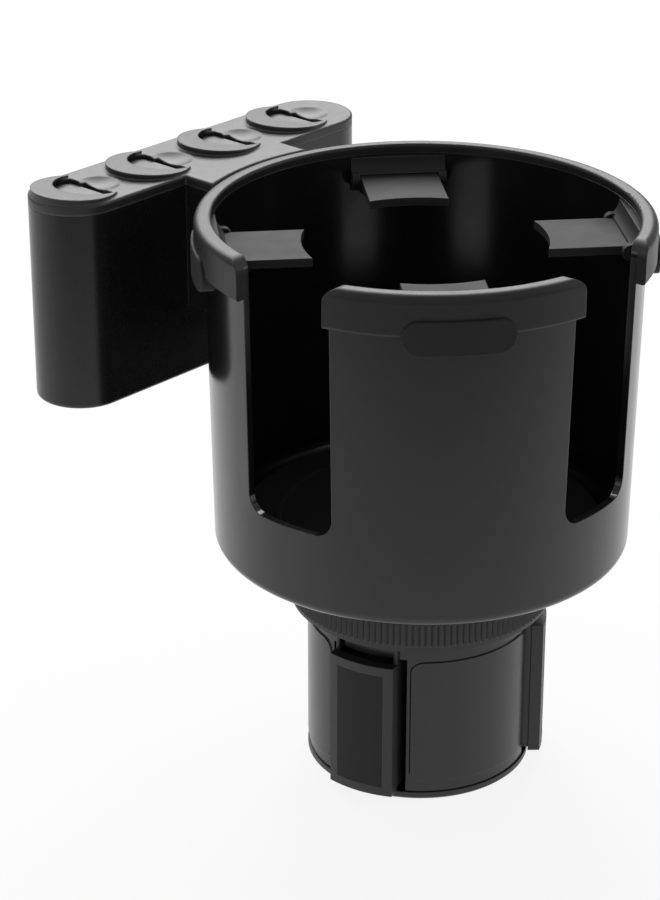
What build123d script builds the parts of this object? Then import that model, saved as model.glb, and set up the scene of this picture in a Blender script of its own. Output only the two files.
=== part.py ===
from build123d import *
import os
from math import atan2, cos, pi, radians, sin, sqrt

os.makedirs("parts", exist_ok=True)

# Cup holder expander, in millimetres. +Z is up, the origin is the middle of the base's underside
# on the cup's axis, and the front panel between the two handle slots faces -Y.

# Stack of the parts along the axis, from the surface upwards
floor_rim = 2.2
base_height = 47.0
ring_running_gap = 0.3
ring_height = 16.6
ring_to_cup_gap = 0.9
cup_height = 90.6
ring_bottom = base_height + ring_running_gap
ring_top = ring_bottom + ring_height
cup_underside = ring_top + ring_to_cup_gap
rim_top = cup_underside + cup_height

# Cup wall, floor and the handle slots beside the front panel
wall = 2.0
cup_floor = 3.5
wall_radius_high = 56.5
wall_radius_low = 54.9
cup_edge_round = 3.0
cavity_round = 3.0
slot_azimuth = 46.0
slot_width = 27.0
slot_depth = 68.0
slot_corner = 5.0
slot_flare = 4.0

# Rim band bonded round the wall's upper edge
rim_radius = 59.0
rim_height = 10.7
rim_cap = 2.4
rim_round = 2.2
rim_small_round = 0.8

# Hub under the cup, which the base is bolted to
hub_radius = 16.0
hub_inner_radius = 9.5
hub_wall = 2.5
hub_ribs = 6
neck_radius = 7.0
neck_reach = 3.0
neck_fit = 0.1
recess_radius = 7.0
recess_depth = 4.5
bolt_radius = 2.5
bolt_length = 30.0
bolt_clearance = 0.25
bolt_head_radius = 5.0
bolt_head_height = 3.0
washer_radius = 6.4
washer_thickness = 1.0
nut_across_flats = 8.0
nut_height = 4.0
nut_fit = 0.12
thread_fit = 0.05

# Loose mat on the cup's floor
mat_radius = 47.5
mat_thickness = 2.0
mat_ridge = 0.6
mat_ridge_radii = (16.0, 27.0, 38.0)

# Knurled ring with its cam plate
ring_radius = 35.4
knurl_depth = 0.6
knurl_count = 130
ring_wall = 3.0
ring_band = 1.4
cam_plate = 3.3
ring_bore_fit = 0.05
cam_turn = 100.0
cam_slot_fit = 0.25

# Base shell and its closing floor
base_radius = 30.3
base_wall = 1.9
panel_proud = 0.4
panel_width = 36.0
panel_round = 3.0
panel_margin = 2.2
top_plate = 3.5
tube_radius = 6.3
tube_bottom = 36.0
floor_chamfer = 0.7
floor_screw_reach = 19.5
floor_boss_radius = 3.2

# Three sliding shoes with rubber pads
shoe_count = 3
shoe_azimuth = -5.6
shoe_width = 18.6
shoe_thickness = 3.0
shoe_height = 38.7
shoe_gap = 0.4
window_side_gap = 1.5
window_top_gap = 0.8
shoe_out_at_rest = 4.0
shoe_travel = 10.0
pad_width = 13.4
pad_height = 33.5
pad_depth = 1.6
pad_border = 2.6
pad_fit = 0.05
tongue_width = 9.0
tongue_height = 5.0
tongue_drop = 0.8
tongue_side_gap = 0.3
foot_height = 3.4
foot_reach = 20.0
rail_width = 1.6
rail_reach = (9.0, 24.4)
pin_radius = 1.9
pin_reach = 15.5
pin_top_gap = 0.7
tongue_end = 4.0

# Rubber grips that close on the bottle: an outer plug through the wall and a swinging flap inside
grip_azimuths = {"front": 270.0, "back": 90.0, "left": 180.0, "right": 0.0}
flap_width = 21.0
flap_thickness = 2.2
flap_tip_reach = 30.0
flap_tip_hollow = 1.7
flap_drop = 7.4
hinge_inset = 3.7
trunnion_radius = 1.0
trunnion_fit = 0.05
ear_width = 2.0
ear_radius = 2.1
ear_gap = 0.3
clip_rise = 4.4
clip_foot = 4.6
clip_top_depth = 1.4
pill_width = 28.0
pill_height = 9.0
pill_proud = 0.8
pill_edge = 0.5
plug_neck_width = 20.0
plug_neck_height = 2.8
plug_fit = 0.1

# Side box with four sprung coin wells
box_azimuth = 131.5
box_near = 66.0
box_width = 24.6
box_length = 114.0
box_shift = -3.5
box_height = 54.0
box_wall = 1.5
box_floor = 1.8
box_edge_round = 1.2
cover_thickness = 2.6
cover_drop = 0.4
well_count = 4
well_pitch = 26.9
well_first = -45.0
well_radius = 10.75
well_wall = 1.15
mouth_radius = 10.2
lip_radius = 11.4
lip_height = 1.7
lip_low = 0.3
lip_plate = 0.8
lip_bite_radius = 9.4
lip_bite_shift = 5.2
mouth_flat = 6.3
thumb_slot_width = 1.7
thumb_slot_length = 8.6
scoop_radius = 14.0
scoop_depth = 1.3
scoop_shift = 8.5
cover_round = 0.7
peg_radius = 1.3
peg_length = 4.0
peg_boss_radius = 2.5
peg_reach = 8.2
peg_fit = 0.1
arm_width = 37.0
arm_shift = 2.0
arm_height = 34.0
arm_wall = 2.2
arm_flange = 3.0
arm_corner = 2.5
rim_clearance = 0.3
bracket_screw_spread = 9.0
bracket_screw_drop = 26.0
bracket_boss_radius = 3.4

# Coin plates and their springs
plate_fit = 0.3
plate_flange = 1.8
plate_skirt = 6.0
plate_skirt_wall = 1.25
plate_pad_fit = 0.5
plate_pad_rise = 1.6
plate_stop_gap = 0.05
spring_radius = 7.6
spring_wire = 0.9
spring_turns = 7
spring_seat_gap = 0.1

# Small screws
screw_radius = 1.5
screw_head_radius = 2.7
screw_head_height = 1.2
screw_recess = 1.4
screw_length = 12.0
screw_fit = 0.1
screw_seat_gap = 0.15

# Levels and radii that follow from the sizes above
floor_top = cup_underside + cup_floor
wall_top = rim_top - rim_cap
rim_bottom = rim_top - rim_height
cavity_radius_high = wall_radius_high - wall
hub_bottom = base_height + cam_plate + 2 * ring_running_gap
neck_top = hub_bottom + neck_reach
recess_bottom = floor_top - recess_depth
plate_underside = base_height - top_plate
shell_radius = base_radius - panel_proud
shoe_bottom = floor_rim + shoe_gap
shoe_top = shoe_bottom + shoe_height
tongue_top = shoe_top - tongue_drop
tongue_bottom = tongue_top - tongue_height
channel_top = tongue_top + tongue_side_gap
pin_top = ring_bottom + cam_plate + ring_running_gap - pin_top_gap
cam_lead = shoe_travel / radians(cam_turn)
shoe_in = shoe_out_at_rest
shoe_out = shoe_travel - shoe_out_at_rest
shoe_azimuths = [shoe_azimuth + i * 360 / shoe_count for i in range(shoe_count)]
flap_top = rim_top - flap_drop
hinge_level = flap_top - flap_thickness / 2
cover_top = rim_top - cover_drop
box_top = cover_top - cover_thickness
box_bottom = box_top - box_height
box_middle = box_near + box_width / 2
well_places = [well_first + i * well_pitch for i in range(well_count)]


def wall_radius(level):
    """Outer radius of the tapered cup wall at a level."""
    share = (level - cup_underside) / (wall_top - cup_underside)
    return wall_radius_low + share * (wall_radius_high - wall_radius_low)


hinge_reach = wall_radius(hinge_level) - wall - hinge_inset


def section_plane(azimuth):
    """Upright plane through the axis: x runs outward, y runs up."""
    turn = radians(azimuth)
    return Plane(origin=(0, 0, 0), x_dir=(cos(turn), sin(turn), 0), z_dir=(sin(turn), -cos(turn), 0))


def facing_plane(azimuth, reach=0.0):
    """Upright plane facing outward at a reach from the axis: x runs sideways, y runs up."""
    turn = radians(azimuth)
    return Plane(
        origin=(reach * cos(turn), reach * sin(turn), 0),
        x_dir=(-sin(turn), cos(turn), 0),
        z_dir=(cos(turn), sin(turn), 0),
    )


def level_plane(azimuth, level):
    """Level plane on the axis: x runs outward, y runs sideways."""
    turn = radians(azimuth)
    return Plane(origin=(0, 0, level), x_dir=(cos(turn), sin(turn), 0), z_dir=(0, 0, 1))


def box_plane(level):
    """Level plane on the side box: x runs along the box, y runs away from the cup."""
    turn = radians(box_azimuth)
    out = (cos(turn), sin(turn))
    along = (out[1], -out[0])
    middle = [box_middle * o + box_shift * a for o, a in zip(out, along)]
    return Plane(origin=(middle[0], middle[1], level), x_dir=(along[0], along[1], 0), z_dir=(0, 0, 1))


def box_upright_plane():
    """Upright plane along the side box's middle: x runs along the box, y runs up."""
    level = box_plane(0)
    return Plane(origin=level.origin, x_dir=level.x_dir, z_dir=-level.y_dir)


def save(builder, name):
    """Label a finished piece and write it."""
    builder.part.label = name
    export_step(builder.part, "parts/" + name + ".step")


# Outline of one handle slot, upright, with rounded bottom corners and a mouth that flares at the rim
with BuildSketch() as slot_outline:
    with BuildLine():
        half = slot_width / 2
        low = rim_top - slot_depth
        above = rim_top + slot_flare
        Line((half - slot_corner, low), (-half + slot_corner, low))
        CenterArc((-half + slot_corner, low + slot_corner), slot_corner, 180, 90)
        Line((-half, low + slot_corner), (-half, rim_top - slot_flare))
        CenterArc((-half - slot_flare, rim_top - slot_flare), slot_flare, 0, 90)
        Polyline(
            (-half - slot_flare, rim_top), (-half - slot_flare, above), (half + slot_flare, above),
            (half + slot_flare, rim_top),
        )
        CenterArc((half + slot_flare, rim_top - slot_flare), slot_flare, 90, 90)
        Line((half, rim_top - slot_flare), (half, low + slot_corner))
        CenterArc((half - slot_corner, low + slot_corner), slot_corner, 270, 90)
    make_face()

with BuildPart() as handle_slots:
    for azimuth in (270 - slot_azimuth, 270 + slot_azimuth):
        with BuildSketch(facing_plane(azimuth)):
            add(slot_outline.sketch)
        extrude(amount=rim_radius + slot_flare)

# The cup's outside with its rim, as a solid that other pieces are cut against
with BuildPart() as outer_envelope:
    with BuildSketch(Plane.XZ):
        Polygon(
            (0, cup_underside), (wall_radius_low, cup_underside), (wall_radius(rim_bottom), rim_bottom),
            (rim_radius, rim_bottom), (rim_radius, rim_top), (0, rim_top), align=None,
        )
    revolve(axis=Axis.Z)

# The space inside the cup, up to the rim
with BuildPart() as cavity:
    with BuildSketch(Plane.XZ) as cavity_profile:
        Polygon(
            (0, floor_top), (wall_radius(floor_top) - wall, floor_top), (cavity_radius_high, wall_top),
            (cavity_radius_high, rim_top), (0, rim_top), align=None,
        )
        corner = cavity_profile.vertices().group_by(Axis.Y)[0].sort_by(Axis.X)[-1]
        fillet(corner, cavity_round)
    revolve(axis=Axis.Z)

# Cup body: one moulding with its wall, floor, hub and handle slots
with BuildPart() as cup_body:
    with BuildSketch(Plane.XZ) as cup_profile:
        Polygon(
            (0, cup_underside), (wall_radius_low, cup_underside), (wall_radius_high, wall_top),
            (0, wall_top), align=None,
        )
        corner = cup_profile.vertices().group_by(Axis.Y)[0].sort_by(Axis.X)[-1]
        fillet(corner, cup_edge_round)
    revolve(axis=Axis.Z)
    add(cavity.part, mode=Mode.SUBTRACT)
    add(handle_slots.part, mode=Mode.SUBTRACT)
    with BuildSketch(Plane.XY.offset(hub_bottom)):
        Circle(hub_radius)
        Circle(hub_radius - hub_wall, mode=Mode.SUBTRACT)
        Circle(hub_inner_radius)
        with PolarLocations((hub_radius - hub_wall / 2 + hub_inner_radius) / 2, hub_ribs):
            Rectangle(hub_radius - hub_inner_radius, hub_wall / 2)
    extrude(amount=cup_underside - hub_bottom)
    with BuildSketch(Plane.XY.offset(hub_bottom)):
        Circle(neck_radius + neck_fit)
    extrude(amount=neck_reach + neck_fit, mode=Mode.SUBTRACT)
    with BuildSketch(Plane.XY.offset(recess_bottom)):
        Circle(recess_radius)
    extrude(amount=recess_depth, mode=Mode.SUBTRACT)
    with BuildSketch(Plane.XY.offset(hub_bottom)):
        Circle(bolt_radius + bolt_clearance)
    extrude(amount=cup_floor + cup_underside - hub_bottom, mode=Mode.SUBTRACT)
    for azimuth in grip_azimuths.values():
        with BuildSketch(facing_plane(azimuth, rim_radius / 2)):
            with Locations((0, rim_bottom - plug_neck_height / 2 - 2 * plug_fit)):
                SlotOverall(plug_neck_width + 2 * plug_fit, plug_neck_height + 2 * plug_fit)
        extrude(amount=rim_radius, mode=Mode.SUBTRACT)
    for side in (-1, 1):
        with BuildSketch(facing_plane(box_azimuth + side * bracket_screw_spread, rim_radius / 2)):
            with Locations((0, cover_top - bracket_screw_drop)):
                Circle(screw_radius + screw_fit)
        extrude(amount=rim_radius, mode=Mode.SUBTRACT)
save(cup_body, "cup_body")

# Rim band: an angle section over the wall's edge, parted by the handle slots
with BuildPart() as rim_ring:
    with BuildSketch(Plane.XZ) as rim_profile:
        Polygon(
            (cavity_radius_high, wall_top), (wall_radius_high, wall_top),
            (wall_radius(rim_bottom), rim_bottom), (rim_radius, rim_bottom), (rim_radius, rim_top),
            (cavity_radius_high, rim_top), align=None,
        )
        outer_corners = rim_profile.vertices().group_by(Axis.X)[-1].sort_by(Axis.Y)
        fillet(outer_corners[-1], rim_round)
        outer_low = rim_profile.vertices().group_by(Axis.Y)[0].sort_by(Axis.X)[-1]
        fillet(outer_low, rim_small_round)
        inner_high = rim_profile.vertices().group_by(Axis.Y)[-1].sort_by(Axis.X)[0]
        fillet(inner_high, rim_small_round)
    revolve(axis=Axis.Z)
    add(handle_slots.part, mode=Mode.SUBTRACT)

with BuildPart() as rim_band_front:
    add(rim_ring.part.solids().sort_by(Axis.Y)[0])
save(rim_band_front, "rim_band_front")

with BuildPart() as rim_band_back:
    add(rim_ring.part.solids().sort_by(Axis.Y)[-1])
save(rim_band_back, "rim_band_back")

# Floor mat with low rings
with BuildPart() as floor_mat:
    with BuildSketch(Plane.XY.offset(floor_top)):
        Circle(mat_radius)
    extrude(amount=mat_thickness)
    with BuildSketch(Plane.XY.offset(floor_top + mat_thickness)):
        for radius in mat_ridge_radii:
            Circle(radius + mat_ridge)
            Circle(radius - mat_ridge, mode=Mode.SUBTRACT)
    extrude(amount=mat_ridge)
save(floor_mat, "floor_mat")

# Bolt, washer and nut that hold the base to the cup
head_seat = recess_bottom + washer_thickness
with BuildPart() as centre_bolt:
    with BuildSketch(Plane.XY.offset(head_seat)):
        Circle(bolt_head_radius)
    extrude(amount=bolt_head_height)
    fillet(centre_bolt.faces().sort_by(Axis.Z)[-1].edges(), bolt_head_height / 3)
    with BuildSketch(Plane.XY.offset(head_seat + bolt_head_height / 2)):
        RegularPolygon(bolt_head_radius / 2, 6)
    extrude(amount=bolt_head_height, mode=Mode.SUBTRACT)
    with BuildSketch(Plane.XY.offset(head_seat - bolt_length)):
        Circle(bolt_radius)
    extrude(amount=bolt_length)
    chamfer(centre_bolt.faces().sort_by(Axis.Z)[0].edges(), bolt_radius / 5)
save(centre_bolt, "centre_bolt")

with BuildPart() as bolt_washer:
    with BuildSketch(Plane.XY.offset(recess_bottom)):
        Circle(washer_radius)
        Circle(bolt_radius + bolt_clearance, mode=Mode.SUBTRACT)
    extrude(amount=washer_thickness)
save(bolt_washer, "bolt_washer")

with BuildPart() as centre_nut:
    with BuildSketch(Plane.XY.offset(tube_bottom)):
        RegularPolygon(nut_across_flats / 2, 6, major_radius=False)
        Circle(bolt_radius + thread_fit, mode=Mode.SUBTRACT)
    extrude(amount=nut_height)
save(centre_nut, "centre_nut")


def cam_point(azimuth, turn, side):
    """Point on a cam slot's edge: the pin's spiral, moved sideways by the pin's radius and its fit."""
    angle = radians(azimuth) - turn
    reach = pin_reach + cam_lead * turn
    ahead = (cam_lead * cos(angle) + reach * sin(angle), cam_lead * sin(angle) - reach * cos(angle))
    length = sqrt(ahead[0] ** 2 + ahead[1] ** 2)
    aside = side * (pin_radius + cam_slot_fit) / length
    return (reach * cos(angle) - ahead[1] * aside, reach * sin(angle) + ahead[0] * aside)


def cam_end(azimuth, turn, sense):
    """Middle point of the round end of a cam slot, past the pin's last place."""
    angle = radians(azimuth) - turn
    reach = pin_reach + cam_lead * turn
    ahead = (cam_lead * cos(angle) + reach * sin(angle), cam_lead * sin(angle) - reach * cos(angle))
    length = sqrt(ahead[0] ** 2 + ahead[1] ** 2)
    on = sense * (pin_radius + cam_slot_fit) / length
    return (reach * cos(angle) + ahead[0] * on, reach * sin(angle) + ahead[1] * on)


# Adjusting ring: knurled rim and a cam plate with one spiral slot for each shoe
turn_in = -shoe_in / cam_lead
turn_out = shoe_out / cam_lead
cam_steps = [turn_in + (turn_out - turn_in) * i / 8 for i in range(9)]
with BuildPart() as adjust_ring:
    with BuildSketch(Plane.XY.offset(ring_bottom)):
        Circle(ring_radius - knurl_depth)
    extrude(amount=ring_height)
    with BuildSketch(Plane.XY.offset(ring_bottom + ring_band)):
        crests = [
            ((ring_radius - knurl_depth * (i % 2)) * cos(pi * i / knurl_count),
             (ring_radius - knurl_depth * (i % 2)) * sin(pi * i / knurl_count))
            for i in range(2 * knurl_count)
        ]
        Polygon(*crests, align=None)
    extrude(amount=ring_height - 2 * ring_band)
    with BuildSketch(Plane.XY.offset(ring_bottom + cam_plate)):
        Circle(ring_radius - ring_wall)
    extrude(amount=ring_height - cam_plate, mode=Mode.SUBTRACT)
    with BuildSketch(Plane.XY.offset(ring_bottom)):
        Circle(neck_radius + ring_bore_fit)
    extrude(amount=cam_plate, mode=Mode.SUBTRACT)
    for azimuth in shoe_azimuths:
        with BuildSketch(Plane.XY.offset(ring_bottom)):
            with BuildLine():
                Spline(*[cam_point(azimuth, turn, 1) for turn in cam_steps])
                ThreePointArc(
                    cam_point(azimuth, turn_out, 1), cam_end(azimuth, turn_out, 1),
                    cam_point(azimuth, turn_out, -1),
                )
                Spline(*[cam_point(azimuth, turn, -1) for turn in cam_steps])
                ThreePointArc(
                    cam_point(azimuth, turn_in, 1), cam_end(azimuth, turn_in, -1),
                    cam_point(azimuth, turn_in, -1),
                )
            make_face()
        extrude(amount=cam_plate, mode=Mode.SUBTRACT)
save(adjust_ring, "adjust_ring")

# Raised panels on the base shell between the shoes
with BuildPart() as shell_panels:
    for azimuth in shoe_azimuths:
        with BuildSketch(facing_plane(azimuth + 180 / shoe_count, base_radius / 2)):
            panel_middle = (floor_rim + base_height) / 2 - panel_margin / 2
            with Locations((0, panel_middle)):
                RectangleRounded(panel_width, base_height - floor_rim - 4 * panel_margin, panel_round)
        extrude(amount=base_radius)
    with BuildSketch(Plane.XY):
        Circle(base_radius)
        Circle(shell_radius - panel_proud, mode=Mode.SUBTRACT)
    extrude(amount=base_height, mode=Mode.INTERSECT)

# Base shell: one moulding, open below, with windows and guides for the shoes and the ring's neck
with BuildPart() as base_shell:
    with BuildSketch(Plane.XY.offset(floor_rim)):
        Circle(shell_radius)
    extrude(amount=base_height - floor_rim)
    with BuildSketch(Plane.XY.offset(floor_rim)):
        Circle(shell_radius - base_wall)
    extrude(amount=plate_underside - floor_rim, mode=Mode.SUBTRACT)
    add(shell_panels.part)
    with BuildSketch(Plane.XY.offset(tube_bottom)):
        Circle(tube_radius)
    extrude(amount=plate_underside - tube_bottom)
    with BuildSketch(Plane.XY.offset(base_height)):
        Circle(neck_radius)
    extrude(amount=neck_top - base_height)
    for azimuth in shoe_azimuths:
        with BuildSketch(level_plane(azimuth, tongue_bottom)):
            with Locations(((rail_reach[0] + rail_reach[1]) / 2, 0)):
                Rectangle(rail_reach[1] - rail_reach[0], tongue_width + 2 * (tongue_side_gap + rail_width))
        extrude(amount=plate_underside - tongue_bottom)
        with BuildSketch(level_plane(azimuth, tongue_bottom)):
            with Locations((base_radius / 2 + tube_radius / 2, 0)):
                Rectangle(base_radius - tube_radius, tongue_width + 2 * tongue_side_gap)
        extrude(amount=channel_top - tongue_bottom, mode=Mode.SUBTRACT)
        with BuildSketch(level_plane(azimuth, channel_top)):
            with Locations((pin_reach + (shoe_out - shoe_in) / 2, 0)):
                SlotCenterToCenter(shoe_travel, 2 * (pin_radius + cam_slot_fit))
        extrude(amount=base_height - channel_top, mode=Mode.SUBTRACT)
        with BuildSketch(facing_plane(azimuth, rail_reach[1])):
            with Locations((0, (floor_rim + shoe_top + window_top_gap) / 2)):
                Rectangle(shoe_width + 2 * window_side_gap, shoe_top + window_top_gap - floor_rim)
        extrude(amount=base_radius, mode=Mode.SUBTRACT)
        with BuildSketch(level_plane(azimuth + 180 / shoe_count, floor_rim)):
            with Locations((floor_screw_reach, 0)):
                Circle(floor_boss_radius)
        extrude(amount=plate_underside - floor_rim)
        with BuildSketch(level_plane(azimuth + 180 / shoe_count, floor_rim)):
            with Locations((floor_screw_reach, 0)):
                Circle(screw_radius + thread_fit)
        extrude(amount=screw_length, mode=Mode.SUBTRACT)
    with BuildSketch(Plane.XY.offset(tube_bottom)):
        RegularPolygon(nut_across_flats / 2 + nut_fit, 6, major_radius=False)
    extrude(amount=nut_height + nut_fit, mode=Mode.SUBTRACT)
    with BuildSketch(Plane.XY.offset(tube_bottom)):
        Circle(bolt_radius + bolt_clearance)
    extrude(amount=neck_top - tube_bottom, mode=Mode.SUBTRACT)
save(base_shell, "base_shell")

# Base floor, screwed on from below
with BuildPart() as base_floor:
    with BuildSketch(Plane.XY):
        Circle(base_radius)
    extrude(amount=floor_rim)
    chamfer(base_floor.faces().sort_by(Axis.Z)[0].edges(), floor_chamfer)
    for azimuth in shoe_azimuths:
        with BuildSketch(level_plane(azimuth, floor_rim)):
            with Locations(((rail_reach[0] + rail_reach[1]) / 2, 0)):
                Rectangle(rail_reach[1] - rail_reach[0], tongue_width + 2 * (tongue_side_gap + rail_width))
                Rectangle(base_radius, tongue_width + 2 * tongue_side_gap, mode=Mode.SUBTRACT)
        extrude(amount=foot_height)
        with BuildSketch(level_plane(azimuth + 180 / shoe_count, 0)):
            with Locations((floor_screw_reach, 0)):
                Circle(screw_radius + screw_fit)
        extrude(amount=floor_rim, mode=Mode.SUBTRACT)
        with BuildSketch(level_plane(azimuth + 180 / shoe_count, 0)):
            with Locations((floor_screw_reach, 0)):
                Circle(screw_head_radius + screw_fit)
        extrude(amount=screw_recess, mode=Mode.SUBTRACT)
save(base_floor, "base_floor")

with BuildPart() as floor_screws:
    for azimuth in shoe_azimuths:
        with BuildSketch(level_plane(azimuth + 180 / shoe_count, screw_recess - screw_head_height)):
            with Locations((floor_screw_reach, 0)):
                Circle(screw_head_radius)
        extrude(amount=screw_head_height)
        with BuildSketch(level_plane(azimuth + 180 / shoe_count, screw_recess)):
            with Locations((floor_screw_reach, 0)):
                Circle(screw_radius)
        extrude(amount=screw_length - screw_recess)
save(floor_screws, "floor_screws")

# One shoe and its pad, made facing +X and then turned to each place
shoe_axis = (shoe_out_at_rest, 0)
pad_bottom = shoe_bottom + pad_border
with BuildPart() as shoe_pattern:
    with BuildSketch(Plane.XY.offset(shoe_bottom)):
        with Locations((base_radius, 0)):
            Rectangle(base_radius, shoe_width)
        with Locations(shoe_axis):
            Circle(base_radius, mode=Mode.INTERSECT)
            Circle(base_radius - shoe_thickness, mode=Mode.SUBTRACT)
    extrude(amount=shoe_height)
    with BuildSketch(Plane.XY.offset(tongue_bottom)):
        inner_end = pin_reach - tongue_end
        outer_end = shoe_out_at_rest + base_radius - shoe_thickness / 2
        with Locations(((inner_end + outer_end) / 2, 0)):
            Rectangle(outer_end - inner_end, tongue_width)
    extrude(amount=tongue_height)
    with BuildSketch(Plane.XY.offset(shoe_bottom)):
        with Locations(((foot_reach + outer_end) / 2, 0)):
            Rectangle(outer_end - foot_reach, tongue_width)
    extrude(amount=foot_height)
    with BuildSketch(Plane.XY.offset(shoe_bottom)):
        with Locations((outer_end - shoe_thickness, 0)):
            Rectangle(2 * shoe_thickness, rail_width)
    extrude(amount=tongue_top - shoe_bottom)
    with BuildSketch(Plane.XY.offset(tongue_top)):
        with Locations((pin_reach, 0)):
            Circle(pin_radius)
    extrude(amount=pin_top - tongue_top)
    with BuildSketch(Plane.XY.offset(pad_bottom)):
        with Locations((base_radius, 0)):
            Rectangle(base_radius, pad_width)
        with Locations(shoe_axis):
            Circle(base_radius - pad_depth, mode=Mode.SUBTRACT)
    extrude(amount=pad_height, mode=Mode.SUBTRACT)

with BuildPart() as pad_pattern:
    with BuildSketch(Plane.XY.offset(pad_bottom + pad_fit)):
        with Locations((base_radius, 0)):
            Rectangle(base_radius, pad_width - 2 * pad_fit)
        with Locations(shoe_axis):
            Circle(base_radius - pad_fit, mode=Mode.INTERSECT)
            Circle(base_radius - pad_depth, mode=Mode.SUBTRACT)
    extrude(amount=pad_height - 2 * pad_fit)

for index, azimuth in enumerate(shoe_azimuths):
    with BuildPart() as shoe:
        with Locations(Location((0, 0, 0), (0, 0, azimuth))):
            add(shoe_pattern.part)
    save(shoe, "shoe_" + str(index + 1))
    with BuildPart() as shoe_pad:
        with Locations(Location((0, 0, 0), (0, 0, azimuth))):
            add(pad_pattern.part)
    save(shoe_pad, "shoe_pad_" + str(index + 1))

# Face of a grip plug: a pill over the rim band's lower edge, shaped to the cup behind it
with BuildPart() as pill:
    with BuildSketch(facing_plane(0, rim_radius / 2)):
        with Locations((0, rim_bottom)):
            SlotOverall(pill_width, pill_height)
    extrude(amount=rim_radius)
    with BuildSketch(Plane.XY.offset(rim_bottom - pill_height)):
        Circle(rim_radius + pill_proud)
    extrude(amount=2 * pill_height, mode=Mode.INTERSECT)
    fillet(pill.faces().sort_by(Axis.X)[-1].edges(), pill_edge)
    add(outer_envelope.part, mode=Mode.SUBTRACT)

# Grip plug: pill, neck through the wall, and the clip inside with two ears for the flap
clip_face = hinge_reach + flap_thickness / 2 + ear_gap
clip_top = flap_top + clip_rise
clip_back = wall_radius_high
clip_half = flap_width / 2 + ear_gap + ear_width
with BuildPart() as plug_pattern:
    with BuildSketch(section_plane(0)):
        with BuildLine():
            Polyline(
                (hinge_reach, flap_top + ear_gap), (clip_face, flap_top + ear_gap),
                (clip_face, flap_top - clip_foot), (clip_back, flap_top - clip_foot),
                (clip_back, clip_top), (clip_face + clip_top_depth / 2, clip_top),
            )
            RadiusArc((clip_face + clip_top_depth / 2, clip_top), (hinge_reach, flap_top + ear_gap), clip_rise + 1)
        make_face()
    extrude(amount=clip_half, both=True)
    for side in (-1, 1):
        with BuildSketch(section_plane(0).offset(side * (clip_half - ear_width / 2))):
            with Locations((hinge_reach, hinge_level)):
                Circle(ear_radius)
            with Locations(((hinge_reach + clip_back) / 2, hinge_level)):
                Rectangle(clip_back - hinge_reach, 2 * ear_radius)
            with Locations((hinge_reach, hinge_level)):
                Circle(trunnion_radius + trunnion_fit, mode=Mode.SUBTRACT)
        extrude(amount=ear_width / 2, both=True)
    with BuildSketch(section_plane(0)):
        with Locations((hinge_reach, hinge_level)):
            Circle(trunnion_radius + trunnion_fit)
    extrude(amount=clip_half, both=True, mode=Mode.SUBTRACT)
    add(cavity.part, mode=Mode.INTERSECT)
    with BuildSketch(facing_plane(0, clip_face + ear_gap)):
        with Locations((0, rim_bottom - plug_neck_height / 2 - 2 * plug_fit)):
            SlotOverall(plug_neck_width, plug_neck_height)
    extrude(amount=rim_radius - clip_face - ear_gap - pill_proud)
    add(pill.part)

# Flap: a rubber tongue with a hollow tip and two trunnions
with BuildPart() as flap_pattern:
    with BuildSketch(level_plane(0, flap_top - flap_thickness)):
        with BuildLine():
            Polyline(
                (flap_tip_reach, -flap_width / 2), (hinge_reach, -flap_width / 2),
                (hinge_reach, flap_width / 2), (flap_tip_reach, flap_width / 2),
            )
            ThreePointArc(
                (flap_tip_reach, flap_width / 2), (flap_tip_reach + flap_tip_hollow, 0),
                (flap_tip_reach, -flap_width / 2),
            )
        make_face()
    extrude(amount=flap_thickness)
    with BuildSketch(section_plane(0)):
        with Locations((hinge_reach, hinge_level)):
            Circle(flap_thickness / 2)
    extrude(amount=flap_width / 2, both=True)
    with BuildSketch(section_plane(0)):
        with Locations((hinge_reach, hinge_level)):
            Circle(trunnion_radius)
    extrude(amount=clip_half - trunnion_fit, both=True)

for place, azimuth in grip_azimuths.items():
    with BuildPart() as grip_plug:
        with Locations(Location((0, 0, 0), (0, 0, azimuth))):
            add(plug_pattern.part)
    save(grip_plug, "grip_plug_" + place)
    with BuildPart() as grip_flap:
        with Locations(Location((0, 0, 0), (0, 0, azimuth))):
            add(flap_pattern.part)
    save(grip_flap, "grip_flap_" + place)

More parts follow.
